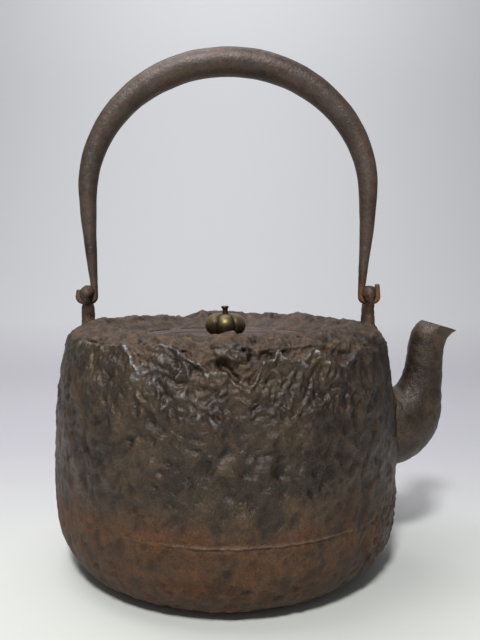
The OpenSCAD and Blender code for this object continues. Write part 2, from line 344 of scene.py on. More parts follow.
# a tube of round rings, one for each matrix. Gives its rings, and the edges at its start and its end
def ringTube(bm, sides, places):
    ring = bmesh.ops.create_circle(bm, cap_ends=False, radius=1, segments=sides)["verts"]
    edges = list({e for v in ring for e in v.link_edges})
    bmesh.ops.transform(bm, matrix=places[0], verts=ring)
    rings, firstEdges = [ring], edges
    for before, after in zip(places, places[1:]):
        grown = bmesh.ops.extrude_edge_only(bm, edges=edges)["geom"]
        ring = [g for g in grown if isinstance(g, bmesh.types.BMVert)]
        edges = [g for g in grown if isinstance(g, bmesh.types.BMEdge)]
        bmesh.ops.transform(bm, matrix=after @ before.inverted(), verts=ring)
        rings.append(ring)
    return rings, firstEdges, edges


# a bar with round sections, along points that lie in the XZ plane
def sweepBar(bm, points, radii, sides):
    places = []
    for k, point in enumerate(points):
        before, after = points[max(k - 1, 0)], points[min(k + 1, len(points) - 1)]
        along = (after - before).normalized()
        across = Vector((0, 1, 0))
        turn = Matrix((across.cross(along), across, along)).transposed().to_4x4()
        places.append(Matrix.Translation(point) @ turn @ Matrix.Diagonal((radii[k], radii[k], radii[k], 1)))
    rings = ringTube(bm, sides, places)[0]
    for end in (rings[-1], rings[0]):
        cap = bmesh.ops.contextual_create(bm, geom=end)["faces"]
        for e in cap[0].edges:
            e.smooth = False
    bmesh.ops.recalc_face_normals(bm, faces=bm.faces)


def layer(bm, name):
    return bm.verts.layers.float.get(name) or bm.verts.layers.float.new(name)


def unit(value):
    return min(max(value, 0), 1)


def moveAll(moves):
    for v, move in moves.items():
        v.co += move


# the chain of points in a mesh, turned once round Z
def turnRound(bm, steps):
    bmesh.ops.spin(
        bm, geom=bm.verts[:] + bm.edges[:], cent=(0, 0, 0), axis=(0, 0, 1),
        angle=2 * math.pi, steps=steps, use_merge=True)


# The body
bodyLow, bodyHigh = boxMm("kettle_body")
body = {
    "bellyR": 74.2, "bellyZ": 33.8, "baseR": 50, "shoulderR": 64.4, "shoulderZ": 101.4,
    "baseCurve": 2.4, "shoulderCurve": 2.15, "shoulderEnd": 0.88, "wall": 3.2, "floor": 3.6, "seamZ": 31.6,
    "crestZ": bodyHigh.z, "mouthR": 36.5, "ledgeZ": 94.0, "recessR": 41.8,
    "stepMm": 0.98, "lowStepMm": 1.45, "seamStepMm": 0.42, "seamBandMm": 2.4, "around": 448,
    "fineBelowMm": 30, "fineDegrees": 54, "spoutHoleR": 11, "spoutHoleZ": 56,
}
# height of the ragged edge where the rock layer ends, by degrees round from the front towards the spout
rockEdge = [
    (-68, 98), (-60, 99), (-45, 98), (-34, 99.5), (-31, 98.5), (-28, 95), (-26, 91.5), (-24.5, 91.5),
    (-22.5, 97), (-20.5, 100.5), (-17, 101), (-13, 97.5), (-10, 95.5), (-7.5, 93.8), (-5, 90.8),
    (-2.5, 92.3), (-1, 92.2), (0.7, 90.5), (2, 88.3), (3.5, 86.3), (7.5, 86), (8.5, 89), (10.5, 94),
    (14, 96.3), (15.5, 98.5), (18, 94.5), (22.5, 94.2), (27, 99), (30, 94), (36, 91.5), (40, 92),
    (44, 96), (50, 97), (56, 94.5), (62, 94), (68, 98),
]
# height of the rim's crest, the same way round
rimCrest = [
    (-180, 104.0), (-166, 104.1), (-160, 102.6), (-156, 101.3), (-149, 103), (-140, 102.8),
    (-125, 103.2), (-112, 102.6), (-104, 103.6), (-95, 103.9), (-80, 103.2), (-60, 103), (-40, 102.4),
    (-24, 102.0), (-18, 102.4), (-8, 101.8), (3, 102.7), (12, 102.0), (17, 102.5), (30, 102.1),
    (45, 102.6), (60, 103), (80, 103.4), (95, 103.2), (106, 103), (118, 102.8), (131, 103.3),
    (139, 103.9), (148, 103.3), (155, 103.7), (160, 103), (172, 103.7),
]
rock = {
    "lumpMm": 10.0, "dentMm": 5.2, "ridgeMm": 5.0, "creaseMm": 3.4, "fineMm": 2.0, "grainMm": 1.5,
    "lump": 1.3, "dent": 0.8, "ridge": 0.75, "crease": 0.75, "fine": 0.55, "grain": 0.15,
    "recess": 2.1, "lip": 1.3, "craterMm": 7.5, "crater": 1.6,
}


def around(table, degrees):
    return float(numpy.interp(degrees, [t[0] for t in table], [t[1] for t in table], period=360))


def edgeHeight(degrees, point):
    if abs(degrees) < 68:
        return around(rockEdge, degrees) + 1.3 * noise.noise(point / 2.7) + 0.6 * noise.noise(point / 1.3)
    easing = smooth(68, 80, abs(degrees))
    wild = 96 + 7 * noise.noise(point / 15) + 3.5 * noise.noise(point / 5)
    return 98 * (1 - easing) + wild * easing


# height of the skin in millimetres, and how much of a crag the place is, from 0 in a hollow to 1
def rockSkin(point, rugged, tall):
    p = Vector((point.x, point.y, point.z * tall))
    warped = p + noise.noise_vector(p / 7) * 2.6 + noise.noise_vector(p / 2.6) * 0.6
    dent = smooth(0.7, 0.12, noise.voronoi(warped / rock["dentMm"])[0][0])
    ridge = max(1 - 2.2 * abs(noise.noise(warped / rock["ridgeMm"])), 0) ** 2
    crease = abs(noise.noise(warped / rock["creaseMm"] + Vector((9, 2, 5)))) * 2
    lump = noise.fractal(p / rock["lumpMm"], 1.0, 2.0, 2)
    grain = noise.noise(p / rock["grainMm"])
    fine = noise.fractal(warped / rock["fineMm"], 0.7, 2.1, 3)
    broken = rock["lump"] * lump - rock["dent"] * (dent - 0.2) + rock["ridge"] * (ridge - 0.35)
    broken += rock["crease"] * (crease - 0.5)
    broken += rock["fine"] * fine
    crag = 0.42 + 0.4 * (ridge - 0.35) - 0.25 * dent + 0.12 * lump + 0.15 * fine + 0.1 * (crease - 0.5)
    return rugged * broken + rock["grain"] * grain, crag


def bodyOutline():
    b = body
    corner = quarter(
        (b["baseR"], b["bellyZ"]), (b["bellyR"] - b["baseR"], b["bellyZ"]), b["baseCurve"], -math.pi / 2, 0)
    upper = quarter(
        (b["shoulderR"], b["bellyZ"]), (b["bellyR"] - b["shoulderR"], b["shoulderZ"] - b["bellyZ"]),
        b["shoulderCurve"], 0, math.pi / 2 * b["shoulderEnd"])
    bandZ = b["seamZ"] - b["seamBandMm"]
    lowCorner = [p for p in corner if p[1] < bandZ]
    seamBand = lowCorner[-1:] + [p for p in corner if p[1] >= bandZ]
    innerCorner = quarter(
        (b["baseR"] - 2, b["bellyZ"]),
        (b["bellyR"] - b["wall"] - b["baseR"] + 2, b["bellyZ"] - b["floor"]), b["baseCurve"], 0, -math.pi / 2)
    innerUpper = quarter(
        (b["shoulderR"] - b["wall"], b["bellyZ"]),
        (b["bellyR"] - b["shoulderR"], b["shoulderZ"] - b["bellyZ"] - b["wall"]),
        b["shoulderCurve"], math.pi / 2, 0)
    recess, ledge, ledgeLow = (b["recessR"], 96.2), b["ledgeZ"], 90.6
    crest = b["crestZ"]
    # each run of the outline: its points, the step along it, and how much of the rock skin
    # it carries at its start and end
    runs = [
        ([(0, 0), (b["baseR"] - 6, 0)], 12, 0, 0),
        ([(b["baseR"] - 6, 0), (b["baseR"], 0)], 1.2, 0, 0.15),
        (lowCorner, b["lowStepMm"], 0.15, 1),
        (seamBand, b["seamStepMm"], 1, 1),
        (upper, b["stepMm"], 1, 1),
        ([upper[-1], (60.5, crest - 1), (56, crest), (53, crest - 1)], b["stepMm"], 1, 0.8),
        ([(53, crest - 1), (45, 97.6), (42.6, 97), recess], b["stepMm"], 0.8, 0.15),
        ([recess, (b["recessR"], ledge), (b["mouthR"], ledge), (b["mouthR"], ledgeLow)], 2.2, 0, 0),
        ([(b["mouthR"], ledgeLow), (38.5, ledgeLow), (47, 94.2), (56, 99.4)] + innerUpper, 6, 0, 0),
        (innerUpper[-1:] + innerCorner[1:] + [(0, b["floor"])], 7, 0, 0),
    ]
    chain = []
    for points, step, first, last in runs:
        spaced = evenly(points, step)
        for k, p in enumerate(spaced):
            amount = first + (last - first) * min(k / (len(spaced) - 1) * 4, 1)
            if not chain or (chain[-1][0] - p).length > 0.05:
                chain.append((p, amount))
    return chain


bm = bmesh.new()
amountLayer = layer(bm, "amount")
chain = bodyOutline()
for p, amount in chain:
    v = bm.verts.new((0, -p.x, p.y))
    v[amountLayer] = amount
bm.verts.ensure_lookup_table()
for k in range(len(chain) - 1):
    bm.edges.new((bm.verts[k], bm.verts[k + 1]))
turnRound(bm, body["around"])
bmesh.ops.remove_doubles(bm, verts=bm.verts, dist=0.002)
bmesh.ops.recalc_face_normals(bm, faces=bm.faces)
print("body turned:", len(bm.verts), "points,", len(chain), "rings")

# a finer mesh in front, where the skin is most broken
fineLow = body["crestZ"] - body["fineBelowMm"]
fineEdges = [
    e for e in bm.edges
    if all(v.co.z > fineLow and math.hypot(v.co.x, v.co.y) > 53 and v[amountLayer] > 0
           and abs(math.degrees(math.atan2(v.co.x, -v.co.y))) < body["fineDegrees"] for v in e.verts)
]
bmesh.ops.subdivide_edges(bm, edges=fineEdges, cuts=1, use_grid_fill=True)
print("finer in front:", len(bm.verts), "points")


# the hole into the spout, through both sides of the wall
def fromHole(p):
    return math.hypot(p.y, p.z - body["spoutHoleZ"]) if p.x > 0 else 1e3


holed = [f for f in bm.faces if fromHole(f.calc_center_median()) < body["spoutHoleR"]]
bmesh.ops.delete(bm, geom=holed, context="FACES")
rimEdges = [e for e in bm.edges if e.is_boundary]
for v in {v for e in rimEdges for v in e.verts}:
    grow = body["spoutHoleR"] / fromHole(v.co)
    flat = math.hypot(v.co.x, v.co.y)
    v.co.y *= grow
    v.co.z = body["spoutHoleZ"] + (v.co.z - body["spoutHoleZ"]) * grow
    v.co.x = math.sqrt(flat ** 2 - v.co.y ** 2)
bmesh.ops.bridge_loops(bm, edges=rimEdges)
bm.normal_update()

layerNames = ("relief", "rust", "shoulder", "seam", "rugged")
reliefLayer, rustLayer, shoulderLayer, seamLayer, ruggedLayer = (layer(bm, n) for n in layerNames)
shifts = {}
for v in bm.verts:
    amount = v[amountLayer]
    v[reliefLayer] = 0.4
    v[rustLayer] = 0.5
    v[ruggedLayer] = 0.2
    if amount <= 0:
        continue
    p = v.co.copy()
    degrees = math.degrees(math.atan2(p.x, -p.y))
    radius = math.hypot(p.x, p.y)
    out = Vector((p.x, p.y, 0)).normalized()
    onRim = smooth(97, 103, p.z)
    outside = radius > 58 or p.z < 97
    # rugged in front and behind, finer at the sides, calm low on the belly
    frontness = math.exp(-(degrees / 44) ** 2) + 0.8 * math.exp(-((abs(degrees) - 170) / 50) ** 2)
    front = min(frontness, 1)
    swell = 0.5 + 0.5 * noise.noise(p / 28 + Vector((7, 3, 1)))
    rugged = (0.4 + 0.7 * frontness) * (0.75 + 0.5 * swell)
    low = 1 - smooth(26, 56, p.z + 6 * noise.noise(p / 14))
    rugged *= 1 - 0.7 * low
    # scarred low on the spout side
    scar = 0.75 * smooth(36, 52, degrees) * (1 - smooth(86, 100, degrees))
    rugged += scar * (1 - smooth(31, 37, p.z)) * smooth(4, 12, p.z)
    rugged *= 1 - 0.35 * smooth(92, 100, p.z)
    edge = edgeHeight(degrees, p)
    above = smooth(-0.5, 0.6, p.z - edge) if outside else 1.0
    fromIsland = math.hypot((degrees - 2) / 5.2, (p.z - 98.2) / 4.2) + 0.5 * noise.noise(p / 2.4)
    island = 1 - smooth(0.72, 1.0, fromIsland) if outside and abs(degrees) < 12 else 0.0
    above *= 1 - island
    skin, crag = rockSkin(p, rugged * (1 - 0.1 * above), 1.0 - 0.35 * (1 - front))
    lip = math.exp(-((p.z - edge + 0.9) / 0.9) ** 2) if outside else 0.0
    # a long crag that runs down to the right from the shoulder, left of the middle
    along = min(max((98.7 - p.z) / 10.7, 0), 1)
    offCrag = (degrees + 31 - 6.5 * along) * 1.25 + 0.8 * noise.noise(p / 3)
    longCrag = math.exp(-(offCrag / 1.1) ** 2) * smooth(86.5, 90, p.z) * (1 - smooth(98.5, 100.5, p.z))
    lipHere = lip * (0.3 + 0.7 * front) * smooth(82, 88, edge)
    # below its ragged edge, across the front where the highlight falls, the skin is made paler and shinier:
    # rubbed metal, and partly a painted highlight
    rubbed = front * smooth(58, 84, p.z) * smooth(0.6, -0.6, p.z - edge) * (0.5 + 0.9 * noise.noise(p / 6))
    shift = skin * amount
    if outside:
        sunk = above * (0.25 + 0.75 * front) * (1 - smooth(97, 104, p.z))
        shift += amount * (rock["lip"] * lipHere + 0.9 * longCrag - rock["recess"] * sunk + 0.9 * island)
    # shallow craters where the rock layer is missing
    cell = noise.voronoi((p + noise.noise_vector(p / 5) * 2.4) / rock["craterMm"])[0][0]
    crater = smooth(0.52, 0.28, cell) * above * smooth(82, 88, p.z)
    shift -= amount * rock["crater"] * (crater - 0.3 * above) * (0.9 if outside else 1)
    # painted shade: the craters are darkened in colour through a lower relief value
    crag -= 0.3 * crater
    # the mould seam: a thin fin with a groove under it, faint at the sides
    seamShow = 0.12 + 0.88 * smooth(-32, -4, degrees) * (1 - smooth(28, 44, degrees))
    offSeam = p.z - body["seamZ"] - 0.25 * noise.noise(p / 20)
    fin = math.exp(-(offSeam / 0.42) ** 2) if outside else 0.0
    groove = math.exp(-((offSeam + 1.0) / 0.5) ** 2) if outside else 0.0
    shift += seamShow * (0.4 * fin - 0.3 * groove)
    # small pits, wider than tall, towards the base
    if p.z < 30:
        pitAt = Vector((p.x / 8.5, p.y / 8.5, p.z / 4.2)) + noise.noise_vector(p / 4) * 0.15
        pit = smooth(0.3, 0.08, noise.voronoi(pitAt)[0][0]) * smooth(1, 6, p.z) * (1 - smooth(25, 30, p.z))
        shift -= 0.95 * pit
        # painted shade: the pits are darkened in colour through a lower relief value
        crag -= 0.25 * pit
    # painted shade: the colour darkens towards the base and on the spout side, through a lower relief value
    crag -= 0.3 * (1 - smooth(6, 27, p.z)) + 0.22 * smooth(15, 50, degrees) * (1 - smooth(100, 140, degrees))
    # the metal swells to meet the root of the spout
    rootGap = (math.hypot(p.y / 15, (p.z - 55.5) / 17.4) - 1) * 16 if p.x > 40 else 99
    if rootGap > -2:
        shift += 1.5 * math.exp(-max(rootGap, 0) / 2.2)
    move = v.normal * shift
    # the crest rises and falls, and wanders in and out
    drop = around(rimCrest, degrees) + 0.5 * noise.noise(p / 3.5) - body["crestZ"]
    move.z += drop * onRim * smooth(46, 50, radius)
    move += out * (1.1 * noise.noise(p / 9) + 0.5 * noise.noise(p / 3.3)) * onRim * amount
    shifts[v] = move
    relief = crag * (1 - 0.2 * above) + (0.55 + 0.5 * noise.noise(p / 2)) * lipHere
    relief += 0.3 * max(rubbed, 0) + 0.4 * longCrag + 0.2 * island
    v[reliefLayer] = unit(relief)
    rustLow = 1 - smooth(30, 52, p.z + 6 * noise.noise(p / 17))
    rustLow *= 0.75 + 0.25 * math.cos(math.radians(degrees + 30))
    v[rustLayer] = unit(0.1 + 0.75 * rustLow + 0.3 * noise.noise(p / 10))
    shown = 0.85 + 1.2 * noise.noise(p / 5)
    shown -= 0.25 * smooth(10, 40, degrees) * front + 0.25 * smooth(60, 130, abs(degrees))
    v[shoulderLayer] = above * smooth(84, 92, p.z) * min(max(shown, 0.1), 1)
    v[seamLayer] = seamShow * 0.5 * fin
    v[ruggedLayer] = min(0.25 + 0.75 * rugged, 1)
moveAll(shifts)
finishPiece(bm, "kettleShell", "kettle", "cast_iron", rockIron, "kettle_body")


# The spout
spoutShape = {
    # outer side x from the belly and z, inner side x and z, half the width
    "sections": [
        (0, 38.2, -1, 72.9, 15), (7.3, 40.6, 1.8, 73.3, 13.6), (14.4, 45.6, 3.4, 74.8, 11.8),
        (19.4, 52.6, 4.8, 77.6, 10.2), (22, 62.4, 5.8, 81.2, 9), (22.2, 74, 6.7, 85.4, 8.1),
        (22.5, 85, 7.5, 91.4, 7.6), (23.7, 93.6, 8.7, 97.2, 7.4), (25.6, 96.9, 10.6, 101, 7.3),
        (28.2, 98.9, 13.4, 103.4, 7.1),
    ],
    "perSection": 8, "sides": 72, "wallRoot": 2.4, "wallLip": 1.6, "setIn": 1.6,
}


def wallRadius(z):
    b = body
    if z < b["bellyZ"]:
        t, power, inner = (b["bellyZ"] - z) / b["bellyZ"], b["baseCurve"], b["baseR"]
    else:
        t = (z - b["bellyZ"]) / (b["shoulderZ"] - b["bellyZ"])
        power, inner = b["shoulderCurve"], b["shoulderR"]
    return inner + (b["bellyR"] - inner) * (1 - t ** power) ** (1 / power)


def spoutRing(t, inset):
    s = through(spoutShape["sections"], t)
    half = Vector((s[0] - s[2], 0, s[1] - s[3])) / 2
    middle = Vector((body["bellyR"] + (s[0] + s[2]) / 2, 0, (s[1] + s[3]) / 2))
    shrink = 1 - inset / half.length
    half = half * shrink
    wide = Vector((0, s[4] - inset, 0))
    normal = half.cross(wide).normalized() * half.length
    turned = Matrix((half, wide, normal)).transposed().to_4x4()
    return Matrix.Translation(middle) @ turned


def spoutTube(bm, inset):
    per = spoutShape["perSection"]
    last = len(spoutShape["sections"]) - 1
    places = [spoutRing(k / per, inset(k / per)) for k in range(last * per + 1)]
    rings, rootEdges, lipEdges = ringTube(bm, spoutShape["sides"], places)
    # the root follows the belly, a little inside it
    for share, ring in zip((1.0, 0.5, 0.2), rings):
        for v in ring:
            onWall = math.sqrt(max(wallRadius(v.co.z) ** 2 - v.co.y ** 2, 0)) - spoutShape["setIn"]
            v.co.x += (onWall - v.co.x) * share
    return rootEdges, lipEdges


# thickness of the spout's wall, from its root to its lip
def spoutWall(t):
    root, lip = spoutShape["wallRoot"], spoutShape["wallLip"]
    return root + (lip - root) * t / (len(spoutShape["sections"]) - 1)


bm = bmesh.new()
outerRoot, outerLip = spoutTube(bm, lambda t: 0.0)
innerRoot, innerLip = spoutTube(bm, spoutWall)
bmesh.ops.bridge_loops(bm, edges=outerRoot + innerRoot)
bmesh.ops.bridge_loops(bm, edges=outerLip + innerLip)
bmesh.ops.recalc_face_normals(bm, faces=bm.faces)
bm.normal_update()
layerNames = ("relief", "rust", "shoulder", "rugged")
reliefLayer, rustLayer, shoulderLayer, ruggedLayer = (layer(bm, n) for n in layerNames)
moves = {}
for v in bm.verts:
    v[ruggedLayer] = 0.6
    p = v.co.copy()
    inLip = smooth(88, 100, p.z)
    skin, crag = rockSkin(p + Vector((40, 5, 9)), 0.26 * (1 - 0.5 * inLip), 0.8)
    moves[v] = v.normal * (skin * 0.8)
    v[reliefLayer] = unit(0.3 + (crag - 0.42) * 0.6)
    v[rustLayer] = unit(0.12 + 0.3 * noise.noise(p / 9))
    v[shoulderLayer] = 0.05
moveAll(moves)
finishPiece(bm, "kettleSpout", "kettle", "cast_iron", rockIron, "spout")


# The ears
ear = {
    # height, half size across X, half size across Y
    "rings": [
        (98.2, 4.2, 6.6), (99.6, 3.7, 6.1), (101.4, 3.0, 5.1), (104, 2.6, 4.4), (107, 2.5, 4.1),
        (109.4, 2.4, 4.3), (110.8, 1.95, 4.8), (112, 1.8, 5.3), (113.2, 2.0, 5.5), (114.4, 2.7, 5.4),
        (116, 3.0, 4.9), (117.5, 2.6, 3.9), (118.4, 1.7, 2.6), (118.7, 0.5, 0.8),
    ],
    "bore": 1.62, "sides": 64, "perRing": 3,
}


def makeEar(name, node):
    low, high = boxMm(node)
    middle = (high.x + low.x) / 2
    bm = bmesh.new()
    places = []
    for k in range((len(ear["rings"]) - 1) * ear["perRing"] + 1):
        z, across, along = through(ear["rings"], k / ear["perRing"])
        places.append(Matrix.Translation((middle, 0, z)) @ Matrix.Diagonal((across, along, 1, 1)))
    rings = ringTube(bm, ear["sides"], places)[0]
    bmesh.ops.contextual_create(bm, geom=rings[-1])
    bmesh.ops.contextual_create(bm, geom=rings[0])
    # squarer in plan than an ellipse
    for v in bm.verts:
        a = math.atan2(v.co.y, v.co.x - middle)
        push = 1 + 0.1 * math.sin(2 * a) ** 2
        v.co.x = middle + (v.co.x - middle) * push
        v.co.y *= push
    # the bore that the hook runs in
    bore = []
    for f in bm.faces:
        centre = f.calc_center_median()
        if abs(f.normal.x) > 0.3 and math.hypot(centre.y, centre.z - pivotZ) < ear["bore"]:
            bore.append(f)
    bmesh.ops.delete(bm, geom=bore, context="FACES")
    rimEdges = [e for e in bm.edges if e.is_boundary]
    for v in {v for e in rimEdges for v in e.verts}:
        grow = ear["bore"] / max(math.hypot(v.co.y, v.co.z - pivotZ), 0.1)
        v.co.y *= grow
        v.co.z = pivotZ + (v.co.z - pivotZ) * grow
    if rimEdges:
        bmesh.ops.bridge_loops(bm, edges=rimEdges)
    bmesh.ops.recalc_face_normals(bm, faces=bm.faces)
    bm.normal_update()
    reliefLayer, rustLayer, shoulderLayer, ruggedLayer = (layer(bm, n) for n in layerNames)
    moves = {}
    for v in bm.verts:
        v[ruggedLayer] = 0.35
        p = v.co.copy()
        away = math.hypot(p.y, p.z - pivotZ) - ear["bore"]
        moves[v] = v.normal * (0.46 * noise.fractal(p / 2.8, 0.9, 2.0, 3) * smooth(0, 1.5, away))
        # painted shade: a dark band round the ear at z 110, under the overhang of its head and the bore
        v[reliefLayer] = 0.42 + 0.25 * noise.noise(p / 2) - 0.36 * math.exp(-((p.z - 110) / 1.9) ** 2)
        v[rustLayer] = 0.45 + 0.4 * noise.noise(p / 4)
        v[shoulderLayer] = 0.5 * (1 - smooth(101, 108, p.z))
    moveAll(moves)
    finishPiece(bm, name, "kettle", "cast_iron", rockIron, node)


makeEar("spoutSideEar", "spout_side_ear")
makeEar("farSideEar", "far_side_ear")


# The bail
gripLow, gripHigh = boxMm("bail_grip")
bail = {
    "middle": (gripLow.x + gripHigh.x) / 2, "halfWidth": 61.5, "sideZ": pivotZ + 47.5,
    "crownR": 6.2, "sideR": 4.05, "footR": 1.5, "footZ": pivotZ + 5, "weldZ": pivotZ + 24,
    "legX": 59.2, "tipX": 66.2, "bendR": 1.8, "tipR": 1.05, "nearTipUp": 7.4, "farTipUp": 5,
    "sides": 40, "hookSides": 28, "hammerMm": 9.0, "hammer": 0.16, "pock": 0.1,
}
bail["crownZ"] = gripHigh.z - bail["crownR"]
leanHeight = bail["weldZ"] - bail["footZ"] + (bail["sideZ"] - bail["weldZ"]) / 2
bail["lean"] = (bail["halfWidth"] - bail["legX"]) / leanHeight


def legX(z):
    b = bail
    if z >= b["weldZ"]:
        return b["halfWidth"] - b["lean"] * (b["sideZ"] - z) ** 2 / (2 * (b["sideZ"] - b["weldZ"]))
    top = b["halfWidth"] - b["lean"] * (b["sideZ"] - b["weldZ"]) / 2
    return top - (top - b["legX"]) * (b["weldZ"] - z) / (b["weldZ"] - b["footZ"])


def legR(z):
    b = bail
    return b["footR"] + (b["sideR"] - b["footR"]) * max(z - b["footZ"], 0) / (b["sideZ"] - b["footZ"])


def gripPath():
    b = bail
    points, radii = [], []
    legSteps, archSteps = 14, 72
    overlap = 0.3  # the grip laps over the hooks, so that no gap shows at the weld
    for k in range(legSteps):
        z = b["weldZ"] - overlap + (b["sideZ"] - b["weldZ"] + overlap) * k / legSteps
        points.append(Vector((-legX(z), 0, z)))
        radii.append(legR(z))
    for k in range(archSteps + 1):
        a = math.pi * (1 - k / archSteps)
        z = b["sideZ"] + (b["crownZ"] - b["sideZ"]) * math.sin(a)
        points.append(Vector((b["halfWidth"] * math.cos(a), 0, z)))
        radii.append(b["sideR"] + (b["crownR"] - b["sideR"]) * math.sin(a))
    for k in range(legSteps - 1, -1, -1):
        points.append(Vector((-points[k].x, 0, points[k].z)))
        radii.append(radii[k])
    for p in points:
        p.x += b["middle"]
    return points, radii


def hookPath(side, tipZ):
    b = bail
    points, radii = [], []

    def add(x, z, r):
        points.append(Vector((b["middle"] + side * x, 0, z)))
        radii.append(r)

    bend, bendSteps = b["bendR"], 8
    add(legX(b["weldZ"] + 0.4), b["weldZ"] + 0.4, legR(b["weldZ"]) - 0.25)  # tucked inside the grip
    for k in range(13):
        z = b["weldZ"] - (b["weldZ"] - b["footZ"]) * k / 12
        add(legX(z), z, legR(z))
    add(b["legX"], (b["footZ"] + pivotZ + bend) / 2, b["footR"])
    for k in range(bendSteps + 1):
        a = math.pi / 2 * k / bendSteps
        add(b["legX"] + bend * (1 - math.cos(a)), pivotZ + bend * (1 - math.sin(a)), b["footR"])
    for k in range(1, 4):
        add(b["legX"] + bend + (b["tipX"] - b["legX"] - 2 * bend) * k / 4, pivotZ, b["footR"])
    for k in range(bendSteps + 1):
        a = math.pi / 2 * k / bendSteps
        add(b["tipX"] - bend * (1 - math.sin(a)), pivotZ + bend * (1 - math.cos(a)), b["footR"])
    start = pivotZ + bend
    for k in range(1, 9):
        t = k / 8
        add(b["tipX"], start + (tipZ - 0.5 - start) * t, b["footR"] + (b["tipR"] - b["footR"]) * t)
    add(b["tipX"], tipZ - 0.15, b["tipR"] * 0.8)
    add(b["tipX"], tipZ, b["tipR"] * 0.35)
    return points, radii


def forge(bm, nearPivot):
    bm.normal_update()
    rustLayer = layer(bm, "rust")
    moves = {}
    for v in bm.verts:
        p = v.co.copy()
        calm = smooth(pivotZ + 3, pivotZ + 9, p.z) if nearPivot else 1.0
        hammered = bail["hammer"] * noise.fractal(p / bail["hammerMm"], 1.0, 2.0, 3)
        pock = bail["pock"] * smooth(0.25, 0.02, noise.voronoi(p / 5)[0][0])
        moves[v] = v.normal * ((hammered - pock) * calm)
        freckle = 0.5 + 0.5 * noise.noise(p / 6)
        low = 1 - smooth(pivotZ + 1, pivotZ + 12, p.z)
        v[rustLayer] = unit(0.22 * freckle + (0.75 if p.x > 0 else 0.2) * low)
    moveAll(moves)


bm = bmesh.new()
points, radii = gripPath()
sweepBar(bm, points, radii, bail["sides"])
forge(bm, False)
finishPiece(bm, "bailGrip", "bail", "forged_iron", handledIron, "bail_grip")
hooks = (
    ("spoutSideHook", "spout_side_hook", 1, bail["nearTipUp"]),
    ("farSideHook", "far_side_hook", -1, bail["farTipUp"]),
)
for name, node, side, tipUp in hooks:
    bm = bmesh.new()
    points, radii = hookPath(side, pivotZ + tipUp)
    sweepBar(bm, points, radii, bail["hookSides"])
    forge(bm, True)
    finishPiece(bm, name, "bail", "forged_iron", handledIron, node)


# The lid
lidLow, lidHigh = boxMm("lid")
lidShape = {
    "radius": lidHigh.x, "under": lidLow.z, "top": lidHigh.z, "band": 9.5, "field": 95.6, "hole": 1.3,
    "around": 192,
}


# a closed outline turned round Z, with the crown value of each of its points
def turned(points, values, steps):
    bm = bmesh.new()
    crown = layer(bm, "crown")
    for p, value in zip(points, values):
        v = bm.verts.new((0, -p[0], p[1]))
        v[crown] = value
    bm.verts.ensure_lookup_table()
    for k in range(len(points)):
        bm.edges.new((bm.verts[k], bm.verts[(k + 1) % len(points)]))
    turnRound(bm, steps)
    bmesh.ops.remove_doubles(bm, verts=bm.verts, dist=0.001)
    bmesh.ops.recalc_face_normals(bm, faces=bm.faces)
    return bm


hole, under, rim = lidShape["hole"], lidShape["under"], lidShape["radius"]
top, field = lidShape["top"], lidShape["field"]
inner = rim - lidShape["band"]
# radius, height and crown value, from the hole outwards below and back to it above
profile = [
    (hole, under, 0), (rim - 0.5, under, 0), (rim - 0.12, under + 0.2, 0.3), (rim, under + 0.8, 0.5),
    (rim, top - 0.7, 0.7), (rim - 0.2, top - 0.2, 1), (rim - 0.7, top, 1), (rim - 1.6, top - 0.05, 0.9),
    (rim - 2.6, top - 0.3, 0.5), (inner + 3, top - 0.34, 0.5), (inner + 1.6, top - 0.18, 0.7),
    (inner + 0.8, top - 0.05, 0.95), (inner + 0.2, top - 0.16, 0.8), (inner - 0.2, field + 0.2, 0.3),
    (inner - 0.8, field, 0.2), (inner - 8, field + 0.02, 0.35), (inner - 16, field + 0.04, 0.4),
    (7, field + 0.02, 0.4), (hole, field, 0.3),
]
bm = turned([p[:2] for p in profile], [p[2] for p in profile], lidShape["around"])
for v in bm.verts:
    if v.co.z > under + 0.5:
        v.co.z += 0.08 * noise.noise(v.co / 14)
finishPiece(bm, "kettleLid", "lid", "bronze", lidBronze, "lid")
# the collar and the washer keep their meshes
for node, material in (("lid_collar", plainBronze), ("pin_washer", plainBrass)):
    nodes[node].data.materials.clear()
    nodes[node].data.materials.append(material)


# The knob, its seat and its pin
knobLow, knobHigh = boxMm("knob")
seatLow, seatHigh = boxMm("knob_seat")
pinLow, pinHigh = boxMm("knob_pin")
knobShape = {
    "radius": -knobLow.y, "low": knobLow.z, "high": knobHigh.z, "lobes": 6, "groove": 0.17, "bore": 1.17,
    "poleShare": 0.42, "poleAngle": 1.35, "around": 180, "rings": 40,
}


def knobOutline():
    k = knobShape
    middle, half = (k["low"] + k["high"]) / 2, (k["high"] - k["low"]) / 2
    points, values = [(k["bore"], k["low"] + 1.4)], [0.0]
    for i in range(k["rings"] + 1):
        a = -math.pi / 2 + math.pi * i / k["rings"]
        if abs(a) < k["poleAngle"]:
            ring = k["radius"] * (k["poleShare"] + (1 - k["poleShare"]) * abs(math.cos(a)) ** 0.9)
        else:  # the poles close towards the bore
            closing = (math.pi / 2 - abs(a)) / (math.pi / 2 - k["poleAngle"])
            ring = k["radius"] * k["poleShare"] * closing * 0.9 + k["bore"] + 0.6
        ring = min(ring, k["radius"])
        points.append((ring, middle + half * math.sin(a)))
        values.append(1.0)
    points.append((k["bore"], k["high"] - 1.3))
    values.append(0.0)
    return points, values


